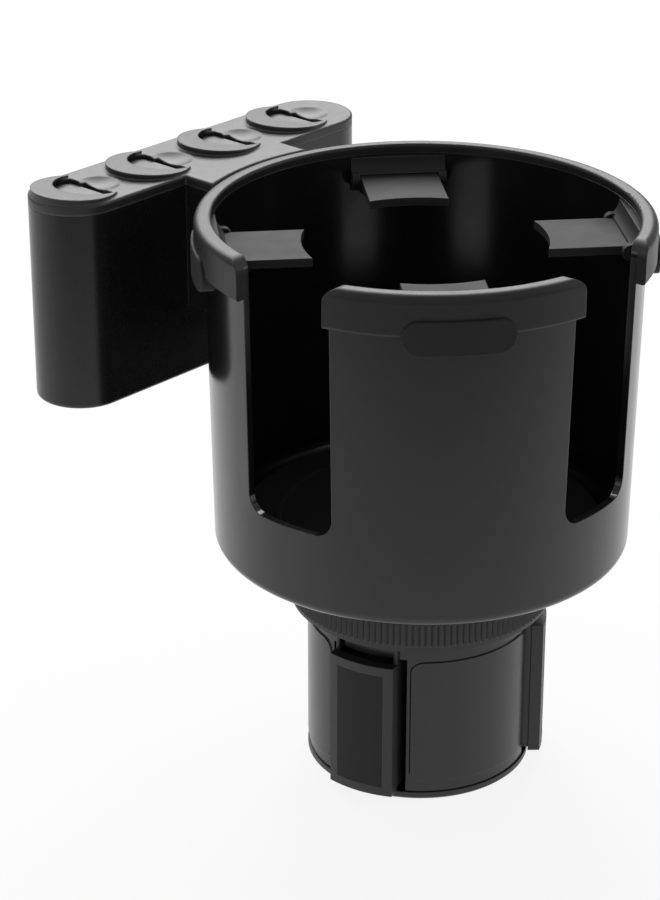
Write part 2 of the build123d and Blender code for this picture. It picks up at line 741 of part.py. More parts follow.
# Side box: one moulding with four coin wells and the arm that meets the cup
arm_bottom = box_top - arm_height
screw_level = cover_top - bracket_screw_drop
axis_place = (-box_shift, -box_middle)
peg_places = [
    ((near + far) / 2, side * peg_reach)
    for near, far in zip(well_places, well_places[1:])
    for side in (-1, 1)
]
with BuildPart() as box_housing:
    with BuildSketch(box_plane(box_bottom)):
        SlotOverall(box_length, box_width)
    extrude(amount=box_height)
    fillet(box_housing.faces().sort_by(Axis.Z)[0].edges(), box_edge_round)
    with BuildSketch(box_plane(box_bottom + box_floor)):
        SlotOverall(box_length - 2 * box_wall, box_width - 2 * box_wall)
    extrude(amount=box_height - box_floor, mode=Mode.SUBTRACT)
    with BuildSketch(box_plane(arm_bottom)):
        with Locations((arm_shift, -(box_middle + box_width / 2 - box_wall) / 2)):
            Rectangle(arm_width, box_middle - box_width / 2 + box_wall)
    extrude(amount=arm_height)
    with BuildSketch(box_plane(arm_bottom)):
        with Locations((arm_shift, -(box_middle + box_width / 2) / 2)):
            Rectangle(arm_width - 2 * arm_wall, box_middle - box_width / 2)
        with Locations(axis_place):
            Circle(wall_radius_high + arm_flange, mode=Mode.SUBTRACT)
    extrude(amount=arm_height - arm_wall, mode=Mode.SUBTRACT)
    for side in (-1, 1):
        with BuildSketch(facing_plane(box_azimuth + side * bracket_screw_spread, rim_radius / 2)):
            with Locations((0, screw_level)):
                Circle(bracket_boss_radius)
        extrude(amount=wall_radius_high + screw_length - screw_recess - rim_radius / 2)
    add(outer_envelope.part, mode=Mode.SUBTRACT)
    with BuildSketch(Plane.XY.offset(rim_bottom - rim_clearance)):
        Circle(rim_radius + rim_clearance)
    extrude(amount=rim_height, mode=Mode.SUBTRACT)
    for side in (-1, 1):
        with BuildSketch(facing_plane(box_azimuth + side * bracket_screw_spread, rim_radius / 2)):
            with Locations((0, screw_level)):
                Circle(screw_radius + thread_fit)
        extrude(amount=wall_radius_high + screw_length - rim_radius / 2, mode=Mode.SUBTRACT)
    with BuildSketch(box_plane(box_bottom + box_floor / 2)):
        for place in well_places:
            with Locations((place, 0)):
                Circle(well_radius + well_wall)
        for place in peg_places:
            with Locations(place):
                Circle(peg_boss_radius)
    extrude(amount=box_height - box_floor / 2)
    with BuildSketch(box_plane(box_bottom + box_floor)):
        for place in well_places:
            with Locations((place, 0)):
                Circle(well_radius)
    extrude(amount=box_height, mode=Mode.SUBTRACT)
    with BuildSketch(box_plane(box_top - peg_length - peg_fit)):
        for place in peg_places:
            with Locations(place):
                Circle(peg_radius + peg_fit)
    extrude(amount=peg_length + peg_fit, mode=Mode.SUBTRACT)
save(box_housing, "box_housing")

# Screws from inside the cup into the arm
with BuildPart() as bracket_screws:
    for side in (-1, 1):
        azimuth = box_azimuth + side * bracket_screw_spread
        seat = wall_radius(screw_level) - wall - screw_seat_gap
        with BuildSketch(facing_plane(azimuth, seat - screw_head_height)):
            with Locations((0, screw_level)):
                Circle(screw_head_radius)
        extrude(amount=screw_head_height)
        with BuildSketch(facing_plane(azimuth, seat)):
            with Locations((0, screw_level)):
                Circle(screw_radius)
        extrude(amount=screw_length - screw_head_height)
save(bracket_screws, "bracket_screws")

# Wedges along the box: the lips' sloping tops, and the same lowered by the lip's thickness
def wedge_profiles(drop):
    """Side view of the four wedges, each high at its left end, with their tops lowered by drop."""
    for place in well_places:
        Polygon(
            (place - lip_radius, cover_top + lip_height - drop), (place - lip_radius, box_top),
            (place + lip_radius, box_top), (place + lip_radius, cover_top + lip_low - drop), align=None,
        )


def crescents(mode=Mode.ADD):
    """Plan of the four lips: a round outline with a round bite out of its right side."""
    with BuildSketch(mode=Mode.PRIVATE) as crescent:
        Circle(lip_radius)
        with Locations((lip_bite_shift, 0)):
            Circle(lip_bite_radius, mode=Mode.SUBTRACT)
    for place in well_places:
        with Locations((place, 0)):
            add(crescent.sketch, mode=mode)


with BuildPart() as lips:
    with BuildSketch(box_upright_plane()):
        wedge_profiles(0)
    extrude(amount=box_width, both=True)
    with BuildSketch(box_plane(box_top)):
        crescents()
    extrude(amount=cover_thickness + lip_height, mode=Mode.INTERSECT)

with BuildPart() as coin_spaces:
    with BuildSketch(box_upright_plane()):
        wedge_profiles(lip_plate)
    extrude(amount=box_width, both=True)
    with BuildSketch(box_plane(box_top)):
        for place in well_places:
            with Locations((place, 0)):
                Circle(mouth_radius)
            with Locations((place + mouth_flat + mouth_radius, 0)):
                Rectangle(2 * mouth_radius, 2 * mouth_radius, mode=Mode.SUBTRACT)
    extrude(amount=cover_thickness + lip_height, mode=Mode.INTERSECT)

# Cover: plate over the box and the arm, with a mouth, a lip, a thumb slot and a scoop at each well
with BuildPart() as box_cover:
    with BuildSketch(box_plane(box_top)):
        SlotOverall(box_length, box_width)
        with Locations((arm_shift, -(box_middle + box_width / 2 - box_wall) / 2)):
            Rectangle(arm_width, box_middle - box_width / 2 + box_wall)
        with Locations(axis_place):
            Circle(rim_radius + rim_clearance, mode=Mode.SUBTRACT)
    extrude(amount=cover_thickness)
    fillet(box_cover.faces().sort_by(Axis.Z)[-1].edges(), cover_round)
    for place in well_places:
        with Locations(box_plane(cover_top).location * Location((place + scoop_shift, 0, scoop_radius - scoop_depth))):
            Sphere(scoop_radius, mode=Mode.SUBTRACT)
    add(lips.part)
    add(coin_spaces.part, mode=Mode.SUBTRACT)
    with BuildSketch(box_plane(box_top)):
        for place in well_places:
            with Locations((place, 0)):
                Circle(mouth_radius)
            with Locations((place + mouth_flat + mouth_radius, 0)):
                Rectangle(2 * mouth_radius, 2 * mouth_radius, mode=Mode.SUBTRACT)
            with Locations((place + mouth_flat, 0)):
                Rectangle(2 * thumb_slot_width, thumb_slot_length)
        crescents(Mode.SUBTRACT)
    extrude(amount=cover_thickness + lip_height, mode=Mode.SUBTRACT)
    with BuildSketch(box_plane(box_top - peg_length)):
        for place in peg_places:
            with Locations(place):
                Circle(peg_radius)
    extrude(amount=peg_length)
save(box_cover, "box_cover")

# One coin plate and its spring, made on the axis and then placed in each well
plate_radius = well_radius - plate_fit
plate_top = box_top - plate_stop_gap
plate_low = plate_top - plate_flange - plate_skirt
with BuildPart() as plate_pattern:
    with BuildSketch(Plane.XY.offset(plate_low)):
        Circle(plate_radius)
    extrude(amount=plate_flange + plate_skirt)
    with BuildSketch(Plane.XY.offset(plate_low)):
        Circle(plate_radius - plate_skirt_wall)
    extrude(amount=plate_skirt, mode=Mode.SUBTRACT)
    with BuildSketch(Plane.XY.offset(plate_top)):
        Circle(mouth_radius - plate_pad_fit)
        with Locations((mouth_flat - plate_pad_fit + mouth_radius, 0)):
            Rectangle(2 * mouth_radius, 2 * mouth_radius, mode=Mode.SUBTRACT)
    extrude(amount=plate_pad_rise)

spring_foot = box_bottom + box_floor + spring_seat_gap + spring_wire / 2
spring_height = plate_low + plate_skirt - spring_seat_gap - spring_wire / 2 - spring_foot
with BuildPart() as spring_pattern:
    with BuildLine(Plane.XY.offset(spring_foot)) as coil:
        Helix(pitch=spring_height / spring_turns, height=spring_height, radius=spring_radius)
    with BuildSketch(Plane(origin=coil.line @ 0, z_dir=coil.line % 0)):
        Circle(spring_wire / 2)
    sweep(path=coil.line)

for index, place in enumerate(well_places):
    seat = box_plane(0).location * Location((place, 0, 0))
    with BuildPart() as coin_plate:
        with Locations(seat):
            add(plate_pattern.part)
    save(coin_plate, "coin_plate_" + str(index + 1))
    with BuildPart() as coin_spring:
        with Locations(seat):
            add(spring_pattern.part)
    save(coin_spring, "coin_spring_" + str(index + 1))
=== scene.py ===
import math

import bpy
import numpy as np
from bpy.props import FloatProperty, FloatVectorProperty, IntProperty, PointerProperty
from mathutils import Matrix, Vector


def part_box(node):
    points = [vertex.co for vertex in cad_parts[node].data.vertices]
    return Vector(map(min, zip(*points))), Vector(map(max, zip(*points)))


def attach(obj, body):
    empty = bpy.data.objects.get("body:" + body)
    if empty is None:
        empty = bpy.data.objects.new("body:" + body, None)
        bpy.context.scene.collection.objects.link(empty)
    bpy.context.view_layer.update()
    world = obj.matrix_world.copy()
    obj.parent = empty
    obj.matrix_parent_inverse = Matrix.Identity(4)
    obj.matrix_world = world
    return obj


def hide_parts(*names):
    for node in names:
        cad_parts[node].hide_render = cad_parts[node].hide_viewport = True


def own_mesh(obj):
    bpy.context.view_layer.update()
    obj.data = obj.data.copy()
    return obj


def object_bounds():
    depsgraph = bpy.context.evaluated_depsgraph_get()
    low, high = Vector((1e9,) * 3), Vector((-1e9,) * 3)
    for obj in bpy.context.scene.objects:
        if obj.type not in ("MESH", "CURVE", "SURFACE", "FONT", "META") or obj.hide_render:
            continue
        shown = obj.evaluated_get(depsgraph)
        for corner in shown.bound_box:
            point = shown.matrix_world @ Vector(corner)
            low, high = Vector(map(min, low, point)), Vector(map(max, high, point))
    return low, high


bl_info = {
    "name": "Cup Holder Expander Finish",
    "version": (1, 0, 0),
    "blender": (4, 5, 0),
    "location": "View3D > Sidebar > Expander",
    "description": "Finishes, fasteners and studio for a cup holder expander with a coin box",
    "category": "Object",
}

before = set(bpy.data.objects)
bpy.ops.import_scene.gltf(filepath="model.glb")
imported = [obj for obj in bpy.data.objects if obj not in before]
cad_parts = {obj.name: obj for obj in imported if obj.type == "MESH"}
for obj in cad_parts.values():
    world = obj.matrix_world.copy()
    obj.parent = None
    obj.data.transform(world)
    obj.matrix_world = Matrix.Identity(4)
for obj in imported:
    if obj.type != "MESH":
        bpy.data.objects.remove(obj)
cad_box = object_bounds()

MM = 0.001
GRIPS = ("front", "back", "left", "right")
SHOES = ("1", "2", "3")
WELLS = ("1", "2", "3", "4")

# Sizes of the grain and the streaks
MOULD_GRAIN = 0.5 * MM
SATIN_GRAIN = 0.3 * MM
RUBBER_GRAIN = 0.35 * MM
FLOOR_GRAIN = 40 * MM
PLATE_STREAK = 0.4 * MM
WIRE_STREAK = 0.3 * MM

# Depths of the grain and the flow waves
CUP_DEPTH = 0.004 * MM
GLOSS_DEPTH = 0.006 * MM
KNURL_DEPTH = 0.012 * MM
SATIN_DEPTH = 0.015 * MM
COVER_DEPTH = 0.02 * MM
CUP_WAVE = 0.02 * MM
FLOW_WAVE = 0.012 * MM

KNURL_EDGE = 0.12 * MM
BASE_DULLER = 0.08
BOX_DULLER = 0.1
FLOOR_DARKEST = 0.985
SHARP_ANGLE = math.radians(32)
SCREW_SIDES = 96
CHEEK_SIDES = 48


class PlasticColours(bpy.types.PropertyGroup):
    """Colours and roughness of the mouldings, the rubber and the metal."""

    gloss: FloatVectorProperty(
        name="Gloss plastic", description="Colour of the cup, the base and the coin box",
        size=3, subtype="COLOR", min=0, max=1, default=(0.0065, 0.0065, 0.007),
    )
    satin: FloatVectorProperty(
        name="Satin plastic", description="Colour of the rim bands, the box cover and the ring",
        size=3, subtype="COLOR", min=0, max=1, default=(0.012, 0.012, 0.0125),
    )
    rubber: FloatVectorProperty(
        name="Rubber", description="Colour of the grips, the pads and the mat",
        size=3, subtype="COLOR", min=0, max=1, default=(0.014, 0.014, 0.014),
    )
    steel: FloatVectorProperty(
        name="Zinc-plated steel", description="Colour of the bolt, nut, washer and screws",
        size=3, subtype="COLOR", min=0, max=1, default=(0.62, 0.61, 0.58),
    )
    wire: FloatVectorProperty(
        name="Spring wire", description="Colour of the coin springs",
        size=3, subtype="COLOR", min=0, max=1, default=(0.48, 0.47, 0.45),
    )
    oxide: FloatVectorProperty(
        name="Black oxide", description="Colour of the blackened arm screws",
        size=3, subtype="COLOR", min=0, max=1, default=(0.035, 0.035, 0.036),
    )
    gloss_roughness: FloatProperty(
        name="Gloss roughness", description="Roughness of the polished mouldings",
        min=0, max=1, default=0.17,
    )
    satin_roughness: FloatProperty(
        name="Satin roughness", description="Roughness of the spark-eroded mouldings",
        min=0, max=1, default=0.42,
    )
    rubber_roughness: FloatProperty(
        name="Rubber roughness", description="Roughness of the rubber",
        min=0, max=1, default=0.62,
    )
    steel_roughness: FloatProperty(
        name="Steel roughness", description="Roughness of the zinc-plated steel",
        min=0, max=1, default=0.3,
    )
    wire_roughness: FloatProperty(
        name="Wire roughness", description="Roughness of the spring wire",
        min=0, max=1, default=0.35,
    )
    oxide_roughness: FloatProperty(
        name="Oxide roughness", description="Roughness of the black oxide",
        min=0, max=1, default=0.42,
    )
    edge: FloatProperty(
        name="Edge round", description="Radius that the light sees on moulded edges",
        min=0, max=0.002, unit="LENGTH", subtype="DISTANCE", default=0.00035,
    )
    lip_edge: FloatProperty(
        name="Lip edge round", description="Radius that the light sees on the edges of the coin lips",
        min=0, max=0.002, unit="LENGTH", subtype="DISTANCE", default=0.0008,
    )


def length_property(name, description, default):
    """A length setting in metres."""
    return FloatProperty(
        name=name, description=description, default=default, min=0, unit="LENGTH", subtype="DISTANCE",
    )


class FastenerSizes(bpy.types.PropertyGroup):
    """Threads and drive recesses of the bolt and the screws."""

    bolt_radius: length_property("Bolt radius", "Radius of the bolt over its thread", 0.0025)
    bolt_pitch: length_property("Bolt pitch", "Rise of the bolt's thread in one turn", 0.0008)
    bolt_groove: length_property("Bolt groove", "Depth of the bolt's thread", 0.0004)
    bolt_head: length_property("Bolt head", "Radius of the bolt's head", 0.005)
    bolt_head_height: length_property("Bolt head height", "Height of the bolt's head", 0.003)
    socket: length_property("Socket", "Half the width across the flats of the bolt's socket", 0.002)
    socket_depth: length_property("Socket depth", "Depth of the bolt's socket", 0.0015)
    screw_radius: length_property("Screw radius", "Radius of a screw over its thread", 0.0015)
    screw_pitch: length_property("Screw pitch", "Rise of a screw's thread in one turn", 0.0011)
    screw_groove: length_property("Screw groove", "Depth of a screw's thread", 0.00035)
    screw_head: length_property("Screw head", "Radius of a screw's head", 0.0027)
    screw_head_height: length_property("Screw head height", "Height of a screw's head", 0.0012)
    cross: length_property("Cross reach", "Reach of each wing of the cross recess", 0.00155)
    cross_width: length_property("Cross wing", "Half the width of a wing of the cross recess", 0.00032)
    cross_depth: length_property("Cross depth", "Depth of the cross recess", 0.0008)
    floor_screw_reach: length_property("Floor screw reach", "Floor screws' distance from the axis", 0.0195)
    floor_screw_turn: FloatProperty(
        name="First floor screw", description="Direction of the first floor screw from +X",
        subtype="ANGLE", unit="ROTATION", default=math.radians(54.4),
    )
    bracket_turn: FloatProperty(
        name="Arm direction", description="Direction of the coin box's arm from +X",
        subtype="ANGLE", unit="ROTATION", default=math.radians(131.5),
    )
    bracket_spread: FloatProperty(
        name="Arm screw spread", description="Turn of each arm screw away from the arm's direction",
        subtype="ANGLE", unit="ROTATION", default=math.radians(9.0),
    )
    bracket_seat: length_property("Arm screw seat", "Distance of the arm screws' seat from the axis", 0.05391)
    bracket_length: length_property("Arm screw length", "Length of an arm screw below its head", 0.0108)
    bracket_level: length_property("Arm screw level", "Height of the arm screws", 0.129)


class SpringSizes(bpy.types.PropertyGroup):
    """Coils under the coin plates."""

    radius: length_property("Coil radius", "Radius of the wire's middle line round the well's axis", 0.0076)
    wire: length_property("Wire radius", "Half the thickness of the wire", 0.00045)
    turns: IntProperty(name="Turns", description="Turns of the wire in one spring", min=1, default=7)
    travel: length_property("Plate travel", "How far a coin plate goes down", 0.036)


class CheekSizes(bpy.types.PropertyGroup):
    """Side walls behind the face of each shoe, which close its window to the eye."""

    first_turn: FloatProperty(
        name="First shoe", description="Direction of the first shoe from +X",
        subtype="ANGLE", unit="ROTATION", default=math.radians(-5.6),
    )
    near: length_property("Cheek inner end", "Distance of the cheeks' inner end from the axis", 0.0215)
    far: length_property("Cheek outer end", "Distance of the cheeks' outer end from the axis", 0.0302)
    aside: length_property("Cheek place", "Distance of each cheek's middle from the shoe's middle", 0.0085)
    thickness: length_property("Cheek thickness", "Thickness of a cheek", 0.0012)
    inset: length_property("Cheek inset", "How far a cheek stops short of the shoe at each end", 0.0008)
    round: length_property("Cheek round", "Height over which a cheek's end narrows", 0.0003)


class StudioSizes(bpy.types.PropertyGroup):
    """Camera, floor and lights."""

    camera_place: FloatVectorProperty(
        name="Camera place", description="Where the camera stands",
        size=3, subtype="TRANSLATION", unit="LENGTH", default=(-0.0967, -0.6547, 0.3928),
    )
    camera_heading: FloatProperty(
        name="Camera heading", description="Turn of the view from +Y towards +X",
        subtype="ANGLE", unit="ROTATION", default=math.radians(6.3),
    )
    camera_dip: FloatProperty(
        name="Camera dip", description="How far the view points below the horizon",
        subtype="ANGLE", unit="ROTATION", default=math.radians(24.68),
    )
    lens: FloatProperty(
        name="Lens", description="Focal length in millimetres for a 36 mm long side", default=110.4,
    )
    nearest: length_property("Nearest", "Distance nearer than which the camera sees nothing", 0.01)
    farthest: length_property("Farthest", "Distance beyond which the camera sees nothing", 50.0)
    floor_radius: FloatProperty(
        name="Floor radius", description="Radius of the pale floor",
        unit="LENGTH", subtype="DISTANCE", default=6.0,
    )
    floor_colour: FloatVectorProperty(
        name="Floor colour", description="Colour of the floor",
        size=3, subtype="COLOR", min=0, max=1, default=(0.86, 0.86, 0.86),
    )
    floor_bright_y: FloatProperty(
        name="Bright floor middle", description="How far behind the part the middle of the bright floor lies",
        unit="LENGTH", subtype="DISTANCE", default=0.75,
    )
    floor_bright_reach: FloatProperty(
        name="Bright floor reach", description="Distance from that middle at which the floor has faded away",
        unit="LENGTH", subtype="DISTANCE", default=1.266,
    )
    floor_fade: FloatProperty(
        name="Bright floor fade", description="Brightness that the floor loses over one metre at that reach",
        min=0, default=2.5,
    )
    floor_dim: FloatProperty(
        name="Dim floor", description="Brightness of the faded floor in reflections",
        min=0, max=1, default=0.12,
    )
    floor_seen: FloatProperty(
        name="Floor glow seen", description="Share of the glow in what the camera sees of the floor",
        subtype="FACTOR", min=0, max=1, default=0.87,
    )
    floor_mirrored: FloatProperty(
        name="Floor glow mirrored", description="Share of the glow in what reflections show of the floor",
        subtype="FACTOR", min=0, max=1, default=0.9,
    )
    sky: FloatProperty(
        name="Room light", description="Strength of the even light of the room", min=0, default=0.42,
    )
    back_light: FloatProperty(
        name="Back softbox", description="Power of the softbox above and behind", min=0, default=27.0,
        unit="POWER",
    )
    back_place: FloatVectorProperty(
        name="Back softbox place", description="Where the softbox above and behind hangs",
        size=3, subtype="TRANSLATION", unit="LENGTH", default=(-0.1, 1.15, 1.0),
    )
    back_width: length_property("Back softbox width", "Width of the softbox above and behind", 1.6)
    back_height: length_property("Back softbox height", "Height of the softbox above and behind", 0.9)
    side_light: FloatProperty(
        name="Side softbox", description="Power of each tall softbox beside the part", min=0, default=1.5,
        unit="POWER",
    )
    left_place: FloatVectorProperty(
        name="Left softbox place", description="Where the left softbox stands",
        size=3, subtype="TRANSLATION", unit="LENGTH", default=(-1.1, -0.3, 0.5),
    )
    right_place: FloatVectorProperty(
        name="Right softbox place", description="Where the right softbox stands",
        size=3, subtype="TRANSLATION", unit="LENGTH", default=(1.1, -0.1, 0.5),
    )
    side_width: length_property("Side softbox width", "Width of each softbox beside the part", 0.5)
    side_height: length_property("Side softbox height", "Height of each softbox beside the part", 1.1)


class Wire:
    """An output socket of one shader. Arithmetic on it adds Math nodes."""

    def __init__(self, tree, socket):
        self.tree = tree
        self.socket = socket

    def math(self, operation, left, right):
        """A Math node of the two operands, in their order."""
        return node(self.tree, "ShaderNodeMath", {"operation": operation}, {0: left, 1: right})

    def __add__(self, other):
        return self.math("ADD", self, other)

    def __radd__(self, other):
        return self.math("ADD", other, self)

    def __sub__(self, other):
        return self.math("SUBTRACT", self, other)

    def __rsub__(self, other):
        return self.math("SUBTRACT", other, self)

    def __mul__(self, other):
        return self.math("MULTIPLY", self, other)

    def clamp(self):
        """The value held between 0 and 1."""
        return node(self.tree, "ShaderNodeClamp", {}, {"Value": self})


def node(tree, kind, settings, inputs, output=0):
    """Add a node, set its settings first, then fill its sockets with numbers or wires."""
    made = tree.nodes.new(kind)
    for name, value in settings.items():
        setattr(made, name, value)
    for name, value in inputs.items():
        if isinstance(value, Wire):
            tree.links.new(value.socket, made.inputs[name])
        else:
            made.inputs[name].default_value = value
    return Wire(tree, made.outputs[output]) if made.outputs else None


def fresh_material(name):
    """An empty node material and its tree."""
    material = bpy.data.materials.new(name)
    material.use_nodes = True
    material.node_tree.nodes.clear()
    return material, material.node_tree


def finish_surface(tree, sockets):
    """A Principled shader with these sockets, joined to the output."""
    surface = node(tree, "ShaderNodeBsdfPrincipled", {}, sockets)
    node(tree, "ShaderNodeOutputMaterial", {}, {"Surface": surface})


def rgba(colour, gain=1.0):
    """A colour property as four numbers, brightened by a gain."""
    return tuple(channel * gain for channel in colour) + (1.0,)


def place_on_object(tree):
    """The point on the piece, in metres."""
    return node(tree, "ShaderNodeTexCoord", {}, {}, "Object")


def noise(tree, place, size, detail, roughness=0.5):
    """Cloudy noise between 0 and 1, with features of a size in metres."""
    inputs = {"Vector": place, "Scale": 1 / size, "Detail": detail, "Roughness": roughness}
    return node(tree, "ShaderNodeTexNoise", {}, inputs, "Fac")


def rounded_normal(tree, radius):
    """The surface normal with edges rounded off, as the light sees a moulded edge."""
    return node(tree, "ShaderNodeBevel", {"samples": 6}, {"Radius": radius})


def edge_mask(tree, normal, gain=4):
    """1 at sharp edges and 0 on open faces: how far the rounded normal leans from the true one."""
    true = node(tree, "ShaderNodeNewGeometry", {}, {}, "True Normal")
    along = node(tree, "ShaderNodeVectorMath", {"operation": "DOT_PRODUCT"}, {0: normal, 1: true}, "Value")
    return ((1 - along) * gain).clamp()


def bump(tree, height, depth, normal):
    """Relief of a depth in metres over a normal."""
    inputs = {"Height": height, "Distance": depth, "Strength": 1.0, "Normal": normal}
    return node(tree, "ShaderNodeBump", {}, inputs)


def tint(tree, share, dark, light):
    """A colour between dark and light by share."""
    inputs = {0: share, 6: dark, 7: light}
    return node(tree, "ShaderNodeMix", {"data_type": "RGBA"}, inputs, 2)


def moulded_plastic(
    name, colour, roughness, grain_size, grain_depth, edge, edge_highlight_gain=2.2, wave_depth=0.0, shine=0.5,
):
    """Moulded plastic: cloudy colour, eroded grain, flow waves, and a painted highlight on the edges."""
    cloud_size, smear_size, wave_size = 18 * MM, 5 * MM, 9 * MM
    darkest, palest = 0.85, 1.2
    smear_swing, grain_swing, edge_roughness_swing = 0.09, 0.05, 0.06
    material, tree = fresh_material(name)
    place = place_on_object(tree)
    rounded = rounded_normal(tree, edge)
    highlit_edge = edge_mask(tree, rounded)
    cloud = noise(tree, place, cloud_size, 3.0)
    smear = noise(tree, place, smear_size, 4.0, 0.6)
    grain = noise(tree, place, grain_size, 3.0, 0.7)
    shade = tint(tree, (cloud * 0.7 + grain * 0.3).clamp(), rgba(colour, darkest), rgba(colour, palest))
    # Painted highlight: the edges are tinted paler, up to the colour times the highlight gain, broken up by
    # the smear noise.
    shade = tint(tree, highlit_edge * smear, shade, rgba(colour, edge_highlight_gain))
    gloss = roughness + (smear - 0.5) * smear_swing + (grain - 0.5) * grain_swing + highlit_edge * edge_roughness_swing
    relief = bump(tree, grain, grain_depth, rounded)
    if wave_depth:
        relief = bump(tree, noise(tree, place, wave_size, 1.0), wave_depth, relief)
    finish_surface(tree, {
        "Base Color": shade, "Roughness": gloss.clamp(), "Normal": relief, "IOR": 1.5,
        "Specular IOR Level": shine,
    })
    return material


def rubber(name, colour, roughness, edge):
    """Moulded rubber: fine even grain, dusty bloom, and a painted highlight on the soft edges."""
    bloom_size, grain_depth = 7 * MM, 0.02 * MM
    darkest, palest, rubber_edge_highlight = 0.8, 1.35, 5.0
    bloom_swing, grain_swing, shine = 0.16, 0.1, 0.25
    material, tree = fresh_material(name)
    place = place_on_object(tree)
    rounded = rounded_normal(tree, edge)
    bloom = noise(tree, place, bloom_size, 4.0, 0.6)
    grain = noise(tree, place, RUBBER_GRAIN, 2.0, 0.6)
    shade = tint(tree, (bloom * 0.6 + grain * 0.4).clamp(), rgba(colour, darkest), rgba(colour, palest))
    # Painted highlight: the soft edges are tinted up to five times the rubber's colour.
    shade = tint(tree, edge_mask(tree, rounded), shade, rgba(colour, rubber_edge_highlight))
    gloss = roughness + (bloom - 0.5) * bloom_swing + (grain - 0.5) * grain_swing
    relief = bump(tree, grain, grain_depth, rounded)
    finish_surface(tree, {
        "Base Color": shade, "Roughness": gloss.clamp(), "Normal": relief, "IOR": 1.5,
        "Specular IOR Level": shine,
    })
    return material


def plated_steel(name, colour, roughness, streak):
    """Plated steel: fine marks, cloudy plating and a little dulling."""
    cloud_size, mark_depth, edge = 1.6 * MM, 0.006 * MM, 0.15 * MM
    cloud_swing, mark_swing, darkest = 0.15, 0.08, 0.78
    material, tree = fresh_material(name)
    place = place_on_object(tree)
    cloud = noise(tree, place, cloud_size, 3.0)
    marks = noise(tree, place, streak, 2.0)
    shade = tint(tree, cloud, rgba(colour, darkest), rgba(colour))
    gloss = roughness + (cloud - 0.5) * cloud_swing + (marks - 0.5) * mark_swing
    relief = bump(tree, marks, mark_depth, rounded_normal(tree, edge))
    finish_surface(tree, {
        "Base Color": shade, "Roughness": gloss.clamp(), "Metallic": 1.0, "Normal": relief,
    })
    return material


def dress(nodes, material):
    """Give CAD nodes one material."""
    for name in nodes:
        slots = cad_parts[name].data.materials
        slots.clear()
        slots.append(material)


class EXPANDER_OT_cup(bpy.types.Operator):
    """Finish the cup body in polished black plastic"""

    bl_idname = "expander.cup"
    bl_label = "Cup Body"

    def execute(self, context):
        look = context.scene.expander_colours
        material = moulded_plastic(
            "polished_black_cup", look.gloss, look.gloss_roughness, MOULD_GRAIN, CUP_DEPTH, look.edge,
            wave_depth=CUP_WAVE,
        )
        dress(["cup_body"], material)
        return {"FINISHED"}


class EXPANDER_OT_rim(bpy.types.Operator):
    """Finish the two rim bands in satin black plastic"""

    bl_idname = "expander.rim"
    bl_label = "Rim Bands"

    def execute(self, context):
        look = context.scene.expander_colours
        material = moulded_plastic(
            "satin_black_rim", look.satin, look.satin_roughness, SATIN_GRAIN, SATIN_DEPTH, look.edge,
            # The band's edges get a strong painted highlight.
            edge_highlight_gain=6.0, shine=0.4,
        )
        dress(["rim_band_front", "rim_band_back"], material)
        return {"FINISHED"}


class EXPANDER_OT_grips(bpy.types.Operator):
    """Finish the rubber grip plugs and flaps"""

    bl_idname = "expander.grips"
    bl_label = "Bottle Grips"

    def execute(self, context):
        look = context.scene.expander_colours
        material = rubber("grip_rubber", look.rubber, look.rubber_roughness, look.edge)
        dress(["grip_plug_" + place for place in GRIPS], material)
        dress(["grip_flap_" + place for place in GRIPS], material)
        return {"FINISHED"}


class EXPANDER_OT_mat(bpy.types.Operator):
    """Finish the rubber mat on the cup's floor"""

    bl_idname = "expander.mat"
    bl_label = "Floor Mat"

    def execute(self, context):
        look = context.scene.expander_colours
        dress(["floor_mat"], rubber("mat_rubber", look.rubber, look.rubber_roughness, look.edge))
        return {"FINISHED"}


class EXPANDER_OT_ring(bpy.types.Operator):
    """Finish the knurled adjusting ring"""

    bl_idname = "expander.ring"
    bl_label = "Adjusting Ring"

    def execute(self, context):
        look = context.scene.expander_colours
        material = moulded_plastic(
            "satin_black_ring", look.satin, look.satin_roughness, SATIN_GRAIN, KNURL_DEPTH, KNURL_EDGE,
        )
        dress(["adjust_ring"], material)
        return {"FINISHED"}


class EXPANDER_OT_base(bpy.types.Operator):
    """Finish the base shell, its floor and the three shoes with their pads"""

    bl_idname = "expander.base"
    bl_label = "Base and Shoes"

    def execute(self, context):
        look = context.scene.expander_colours
        shell = moulded_plastic(
            "semi_gloss_black_base", look.gloss, look.gloss_roughness + BASE_DULLER, MOULD_GRAIN,
            GLOSS_DEPTH, look.edge, wave_depth=FLOW_WAVE,
        )
        dress(["base_shell"], shell)
        satin = moulded_plastic(
            "satin_black_base", look.satin, look.satin_roughness, SATIN_GRAIN, SATIN_DEPTH, look.edge,
        )
        dress(["base_floor"] + ["shoe_" + number for number in SHOES], satin)
        pads = rubber("pad_rubber", look.rubber, look.rubber_roughness, look.edge)
        dress(["shoe_pad_" + number for number in SHOES], pads)
        return {"FINISHED"}


class EXPANDER_OT_box(bpy.types.Operator):
    """Finish the coin box, its cover and its plates"""

    bl_idname = "expander.box"
    bl_label = "Coin Box"

    def execute(self, context):
        look = context.scene.expander_colours
        housing = moulded_plastic(
            "semi_gloss_black_box", look.gloss, look.gloss_roughness + BOX_DULLER, MOULD_GRAIN,
            GLOSS_DEPTH, look.edge, wave_depth=FLOW_WAVE,
        )
        dress(["box_housing"], housing)
        cover = moulded_plastic(
            "satin_black_cover", look.satin, look.satin_roughness, SATIN_GRAIN, COVER_DEPTH, look.lip_edge,
            # The edges of the coin lips get a very strong painted highlight.
            edge_highlight_gain=14.0, shine=0.6,
        )
        dress(["box_cover"] + ["coin_plate_" + number for number in WELLS], cover)
        return {"FINISHED"}


def hexagon(turn, half):
    """Radius of a hexagon's outline at each angle: half its width across the flats over the cosine of the
    angle from the nearest flat's middle."""
    return half / np.cos((turn + math.pi / 6) % (math.pi / 3) - math.pi / 6)


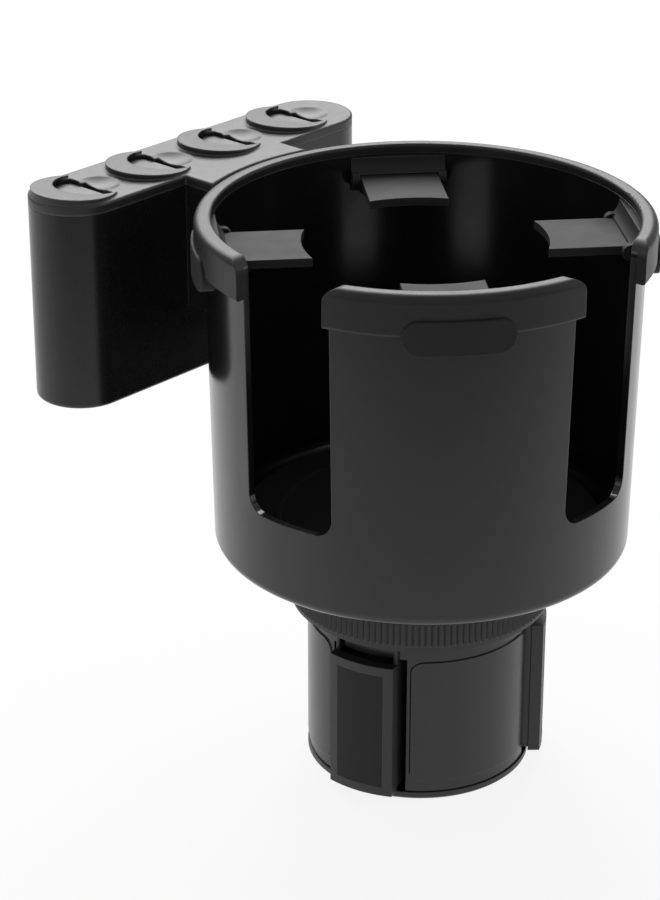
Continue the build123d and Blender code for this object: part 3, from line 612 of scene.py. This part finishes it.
def cross(turn, reach, half, smallest=1e-6):
    """Radius of a cross's outline at each angle: the nearest wing's end or its side, whichever is nearer."""
    folded = (turn + math.pi / 4) % (math.pi / 2) - math.pi / 4
    return np.minimum(reach / np.cos(folded), half / np.maximum(np.abs(np.sin(folded)), smallest))


def fastener(shaft, length, pitch, groove, head, head_height, outline, recess_depth, turn):
    """Rings of points round +Z, from a threaded shaft's tip up to its head and down into its recess.

    On the shaft the radius at height z and angle v is the crest less the groove's depth times a triangle
    wave of z / pitch - v / 2 pi, held under a cone at the tip and plain just below the head. The head is a
    quarter circle turned round the axis, and its recess repeats the outline at the top and at its floor.
    """
    levels_per_turn, crown_steps = 8, 7
    tip_share, crown_share, under_share = 0.6, 0.45, 0.08
    recess_mouth, recess_floor, mouth_depth = 1.06, 0.86, 0.05
    level = np.linspace(0, length, int(levels_per_turn * length / pitch))[:, None]
    wave = np.abs(2 * ((level / pitch - turn / (2 * math.pi)) % 1) - 1)
    shank = np.clip((length - level) / pitch, 0, 1)
    radius = shaft - groove * wave * shank
    radius = np.minimum(radius, tip_share * shaft + level)
    crown = np.linspace(0, math.pi / 2, crown_steps)[:, None]
    rise = crown_share * head_height
    around = np.ones_like(turn)[None]
    radii = [
        radius, (head - under_share * rise) * around, (head - rise + rise * np.cos(crown)) * around,
        outline[None] * recess_mouth, outline[None], outline[None] * recess_floor,
    ]
    top = length + head_height
    heights = [
        level * around, length * around, (top - rise + rise * np.sin(crown)) * around, top * around,
        (top - mouth_depth * recess_depth) * around, (top - recess_depth) * around,
    ]
    reach, height = np.concatenate(radii), np.concatenate(heights)
    return np.stack([reach * np.cos(turn), reach * np.sin(turn), height], -1)


def stacked_mesh(name, stacks):
    """One closed mesh of several stacks of rings, each joined ring to ring and capped at both ends."""
    points, faces, start = [], [], 0
    for stack in stacks:
        rings, sides = stack.shape[:2]
        row, side = np.meshgrid(np.arange(rings - 1) * sides, np.arange(sides), indexing="ij")
        after = (side + 1) % sides
        corners = [row + side, row + after, row + sides + after, row + sides + side]
        quads = np.stack(corners, -1).reshape(-1, 4) + start
        last = start + (rings - 1) * sides
        bottom = list(range(start + sides - 1, start - 1, -1))
        faces += quads.tolist() + [bottom, list(range(last, last + sides))]
        points.append(stack.reshape(-1, 3))
        start += rings * sides
    mesh = bpy.data.meshes.new(name)
    mesh.from_pydata(np.concatenate(points).tolist(), [], faces)
    mesh.update()
    mesh.shade_smooth()
    mesh.set_sharp_from_angle(angle=SHARP_ANGLE)
    return mesh


def add_piece(name, mesh, material, body, replaced=None):
    """A new piece that moves with a body, and may stand for one CAD node."""
    mesh.materials.append(material)
    piece = bpy.data.objects.new(name, mesh)
    bpy.context.scene.collection.objects.link(piece)
    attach(piece, body)
    if replaced:
        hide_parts(replaced)
    return piece


class EXPANDER_OT_fasteners(bpy.types.Operator):
    """Make the threaded bolt and screws, and finish the washer and nut"""

    bl_idname = "expander.fasteners"
    bl_label = "Fasteners"

    def execute(self, context):
        look = context.scene.expander_colours
        size = context.scene.expander_fasteners
        steel = plated_steel("zinc_plate", look.steel, look.steel_roughness, PLATE_STREAK)
        dark = plated_steel("black_oxide", look.oxide, look.oxide_roughness, PLATE_STREAK)
        dress(["bolt_washer", "centre_nut"], steel)
        turn = np.linspace(0, 2 * math.pi, SCREW_SIDES, endpoint=False)
        for name, mesh, material, replaced in (
            ("bolt_threaded", self.bolt(size, turn), steel, "centre_bolt"),
            ("floor_screws_threaded", self.floor_screws(size, turn), steel, "floor_screws"),
            ("arm_screws_threaded", self.arm_screws(size, turn), dark, "bracket_screws"),
        ):
            add_piece(name, mesh, material, "cup", replaced)
        return {"FINISHED"}

    def screw(self, size, length, turn):
        """One self-tapping screw round +Z, its tip at the origin."""
        return fastener(
            size.screw_radius, length, size.screw_pitch, size.screw_groove, size.screw_head,
            size.screw_head_height, cross(turn, size.cross, size.cross_width), size.cross_depth, turn,
        )

    def bolt(self, size, turn):
        """The centre bolt, upright between the heights of its CAD node."""
        low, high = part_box("centre_bolt")
        stack = fastener(
            size.bolt_radius, high[2] - low[2] - size.bolt_head_height, size.bolt_pitch, size.bolt_groove,
            size.bolt_head, size.bolt_head_height, hexagon(turn, size.socket), size.socket_depth, turn,
        )
        return stacked_mesh("bolt_threaded", [stack + np.array([0, 0, low[2]])])

    def floor_screws(self, size, turn):
        """Three screws with their heads down, turned over about +X and moved out to their places."""
        low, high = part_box("floor_screws")
        upright = self.screw(size, high[2] - low[2] - size.screw_head_height, turn)
        over = upright * np.array([1, -1, -1]) + np.array([0, 0, high[2]])
        places = size.floor_screw_turn + np.arange(3) * 2 * math.pi / 3
        shifts = size.floor_screw_reach * np.stack([np.cos(places), np.sin(places), np.zeros(3)], -1)
        return stacked_mesh("floor_screws_threaded", [over + shift for shift in shifts])

    def arm_screws(self, size, turn):
        """Two level screws whose heads face the axis: their own Z runs inwards and their own Y runs down."""
        length = size.bracket_length
        upright = self.screw(size, length, turn)
        stacks = []
        for side in (-1, 1):
            angle = size.bracket_turn + side * size.bracket_spread
            outward = np.array([math.cos(angle), math.sin(angle), 0])
            aside = np.array([-math.sin(angle), math.cos(angle), 0])
            tip = outward * (size.bracket_seat + length) + np.array([0, 0, size.bracket_level])
            axes = np.stack([aside, np.array([0, 0, -1.0]), -outward])
            stacks.append(upright @ axes + tip)
        return stacked_mesh("arm_screws_threaded", stacks)


class EXPANDER_OT_springs(bpy.types.Operator):
    """Make the four coin springs"""

    bl_idname = "expander.springs"
    bl_label = "Coin Springs"

    def execute(self, context):
        look = context.scene.expander_colours
        size = context.scene.expander_springs
        wire = plated_steel("spring_wire", look.wire, look.wire_roughness, WIRE_STREAK)
        for number in WELLS:
            low, high = (np.array(corner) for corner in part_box("coin_spring_" + number))
            height = high[2] - low[2]
            foot = np.array([(low[0] + high[0]) / 2, (low[1] + high[1]) / 2, low[2]])
            mesh = stacked_mesh("coil_" + number, [self.coil(size, height) + foot])
            coil = add_piece("coil_" + number, mesh, wire, "cup", "coin_spring_" + number)
            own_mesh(coil)
        return {"FINISHED"}

    def coil(self, size, height, steps=48, sides=12):
        """A round wire along a helix. The helix turns evenly as it rises, and each ring of the wire is the
        helix's point plus the wire's radius times cos a outward and sin a across both outward and along."""
        turn = np.linspace(0, 2 * math.pi * size.turns, size.turns * steps + 1)
        rise = (height - 2 * size.wire) / turn[-1]
        outward = np.stack([np.cos(turn), np.sin(turn), 0 * turn], -1)
        middle = size.radius * outward + np.stack([0 * turn, 0 * turn, size.wire + rise * turn], -1)
        aside = np.stack([-np.sin(turn), np.cos(turn), 0 * turn], -1)
        along = size.radius * aside + np.array([0, 0, rise])
        along /= np.linalg.norm(along, axis=1, keepdims=True)
        across = np.cross(along, outward)
        around = np.linspace(0, 2 * math.pi, sides, endpoint=False)[None, :, None]
        ring = np.cos(around) * outward[:, None] + np.sin(around) * across[:, None]
        return middle[:, None] + size.wire * ring


class EXPANDER_OT_cheeks(bpy.types.Operator):
    """Make the two side walls behind each shoe's face"""

    bl_idname = "expander.cheeks"
    bl_label = "Shoe Cheeks"

    def execute(self, context):
        look = context.scene.expander_colours
        size = context.scene.expander_cheeks
        satin = moulded_plastic(
            "satin_black_cheeks", look.satin, look.satin_roughness, SATIN_GRAIN, SATIN_DEPTH, look.edge,
        )
        for number in SHOES:
            mesh = self.cheeks(size, number)
            add_piece("shoe_cheeks_" + number, mesh, satin, "shoe_" + number)
        return {"FINISHED"}

    def cheeks(self, size, number):
        """Two upright walls: each level is a superellipse, with half axes a and b and the power 8, so that
        x = a sign(cos v) |cos v| to 1/4 and y = b sign(sin v) |sin v| to 1/4. Both axes shrink near the ends,
        and the pair is turned to its shoe."""
        low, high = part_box("shoe_" + number)
        bottom, top = low[2] + size.inset, high[2] - size.inset
        turn = np.linspace(0, 2 * math.pi, CHEEK_SIDES, endpoint=False)
        heights = np.array([bottom, bottom + size.round, top - size.round, top])[:, None]
        shrink = np.array([size.round, 0, 0, size.round])[:, None]
        x = (size.far + size.near) / 2 + ((size.far - size.near) / 2 - shrink) * self.corner(np.cos(turn))
        y = (size.thickness / 2 - shrink) * self.corner(np.sin(turn))
        z = heights * np.ones_like(turn)
        angle = size.first_turn + SHOES.index(number) * 2 * math.pi / 3
        cosine, sine = math.cos(angle), math.sin(angle)
        stacks = []
        for side in (-1, 1):
            across = y + side * size.aside
            stacks.append(np.stack([x * cosine - across * sine, x * sine + across * cosine, z], -1))
        return stacked_mesh("shoe_cheeks_" + number, stacks)

    def corner(self, wave):
        """A wave squared off towards a rectangle's outline."""
        return np.sign(wave) * np.abs(wave) ** 0.25


def floor_mesh(radius, rings=24, sides=96):
    """A flat disc on z = 0: rings of points at equal shares of the radius round the middle."""
    reach, turn = np.meshgrid(
        np.linspace(0, radius, rings), np.linspace(0, 2 * math.pi, sides, endpoint=False), indexing="ij",
    )
    points = np.stack([reach * np.cos(turn), reach * np.sin(turn), 0 * reach], -1).reshape(-1, 3)
    row, side = np.meshgrid(np.arange(rings - 1) * sides, np.arange(sides), indexing="ij")
    after = (side + 1) % sides
    corners = [row + side, row + sides + side, row + sides + after, row + after]
    faces = np.stack(corners, -1).reshape(-1, 4)
    mesh = bpy.data.meshes.new("floor")
    mesh.from_pydata(points.tolist(), [], faces.tolist())
    mesh.update()
    return mesh


def softbox(name, place, target, width, height, watts):
    """A rectangular area light that looks at a target."""
    light = bpy.data.lights.new(name, "AREA")
    light.shape = "RECTANGLE"
    light.size = width
    light.size_y = height
    light.energy = watts
    lamp = bpy.data.objects.new(name, light)
    lamp.location = place
    aim = Vector(target) - Vector(place)
    lamp.rotation_euler = aim.to_track_quat("-Z", "Y").to_euler()
    bpy.context.scene.collection.objects.link(lamp)


class EXPANDER_OT_stage(bpy.types.Operator):
    """Set the pale floor, the room light, the softboxes and the camera"""

    bl_idname = "expander.stage"
    bl_label = "Stage"

    def execute(self, context):
        studio = context.scene.expander_studio
        self.make_floor(context, studio)
        self.light_room(context, studio)
        self.set_camera(context, studio)
        context.scene.view_settings.view_transform = "Standard"
        return {"FINISHED"}

    def make_floor(self, context, studio):
        """A pale floor that the camera and reflections see as nearly white, with its shadow kept."""
        floor = bpy.data.objects.new("studio_floor", floor_mesh(studio.floor_radius))
        context.scene.collection.objects.link(floor)
        material, tree = fresh_material("pale_floor")
        grain = noise(tree, place_on_object(tree), FLOOR_GRAIN, 3.0)
        colour = tint(tree, grain, rgba(studio.floor_colour, FLOOR_DARKEST), rgba(studio.floor_colour))
        diffuse = node(tree, "ShaderNodeBsdfDiffuse", {}, {"Color": colour})
        seen = node(tree, "ShaderNodeLightPath", {}, {}, "Is Camera Ray")
        mirrored = node(tree, "ShaderNodeLightPath", {}, {}, "Is Glossy Ray")
        from_back = node(
            tree, "ShaderNodeVectorMath", {"operation": "DISTANCE"},
            {0: place_on_object(tree), 1: (0, studio.floor_bright_y, 0)}, "Value",
        )
        fading = ((studio.floor_bright_reach - from_back) * studio.floor_fade).clamp()
        white = (1, 1, 1)
        glowing = tint(tree, (fading + seen).clamp(), rgba(white, studio.floor_dim), rgba(white))
        glow = node(tree, "ShaderNodeEmission", {}, {"Color": glowing, "Strength": 1.0})
        share = (seen * studio.floor_seen + mirrored * studio.floor_mirrored).clamp()
        mixed = node(tree, "ShaderNodeMixShader", {}, {0: share, 1: diffuse, 2: glow})
        node(tree, "ShaderNodeOutputMaterial", {}, {"Surface": mixed})
        floor.data.materials.append(material)

    def light_room(self, context, studio):
        """Even light from all round, with a softbox behind and above and one on each side."""
        world = bpy.data.worlds.new("studio_room")
        context.scene.world = world
        world.use_nodes = True
        tree = world.node_tree
        tree.nodes.clear()
        seen = node(tree, "ShaderNodeLightPath", {}, {}, "Is Camera Ray")
        strength = studio.sky + seen * (1 - studio.sky)
        room = node(tree, "ShaderNodeBackground", {}, {"Color": (1, 1, 1, 1), "Strength": strength})
        node(tree, "ShaderNodeOutputWorld", {}, {"Surface": room})
        low, high = cad_box
        middle = (low + high) / 2
        softbox(
            "back_softbox", studio.back_place, middle, studio.back_width, studio.back_height,
            studio.back_light,
        )
        for name, place in (("left_softbox", studio.left_place), ("right_softbox", studio.right_place)):
            softbox(name, place, middle, studio.side_width, studio.side_height, studio.side_light)

    def set_camera(self, context, studio):
        """The camera at its place, turned by its heading and dip."""
        data = bpy.data.cameras.new("photo_camera")
        data.lens = studio.lens
        data.clip_start = studio.nearest
        data.clip_end = studio.farthest
        camera = bpy.data.objects.new("photo_camera", data)
        turn, dip = studio.camera_heading, studio.camera_dip
        forward = Vector((math.sin(turn) * math.cos(dip), math.cos(turn) * math.cos(dip), -math.sin(dip)))
        right = Vector((math.cos(turn), -math.sin(turn), 0))
        up = right.cross(forward)
        turned = Matrix((right, up, -forward)).transposed().to_4x4()
        camera.matrix_world = Matrix.Translation(studio.camera_place) @ turned
        context.scene.collection.objects.link(camera)
        context.scene.camera = camera


OPERATORS = (
    EXPANDER_OT_cup, EXPANDER_OT_rim, EXPANDER_OT_grips, EXPANDER_OT_mat, EXPANDER_OT_ring,
    EXPANDER_OT_base, EXPANDER_OT_box, EXPANDER_OT_springs, EXPANDER_OT_fasteners, EXPANDER_OT_cheeks,
    EXPANDER_OT_stage,
)


class EXPANDER_PT_panel(bpy.types.Panel):
    """Sidebar panel that lists the pieces"""

    bl_idname = "EXPANDER_PT_panel"
    bl_label = "Cup Holder Expander"
    bl_space_type = "VIEW_3D"
    bl_region_type = "UI"
    bl_category = "Expander"

    def draw(self, context):
        column = self.layout.column()
        for operator in OPERATORS:
            column.operator(operator.bl_idname)
        scene = context.scene
        groups = (
            scene.expander_colours, scene.expander_fasteners, scene.expander_springs, scene.expander_cheeks,
            scene.expander_studio,
        )
        for group in groups:
            box = self.layout.box()
            for name in group.__annotations__:
                box.prop(group, name)


CLASSES = (
    PlasticColours, FastenerSizes, SpringSizes, CheekSizes, StudioSizes, *OPERATORS, EXPANDER_PT_panel,
)


def register():
    """Register the settings, the operators and the panel."""
    for item in CLASSES:
        bpy.utils.register_class(item)
    bpy.types.Scene.expander_colours = PointerProperty(type=PlasticColours)
    bpy.types.Scene.expander_fasteners = PointerProperty(type=FastenerSizes)
    bpy.types.Scene.expander_springs = PointerProperty(type=SpringSizes)
    bpy.types.Scene.expander_cheeks = PointerProperty(type=CheekSizes)
    bpy.types.Scene.expander_studio = PointerProperty(type=StudioSizes)


def unregister():
    """Take them away again, in the opposite order."""
    del bpy.types.Scene.expander_studio
    del bpy.types.Scene.expander_cheeks
    del bpy.types.Scene.expander_springs
    del bpy.types.Scene.expander_fasteners
    del bpy.types.Scene.expander_colours
    for item in reversed(CLASSES):
        bpy.utils.unregister_class(item)


def main():
    """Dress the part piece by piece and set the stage."""
    register()
    for operator in OPERATORS:
        group, name = operator.bl_idname.split(".")
        getattr(getattr(bpy.ops, group), name)()


if __name__ == "__main__":
    main()
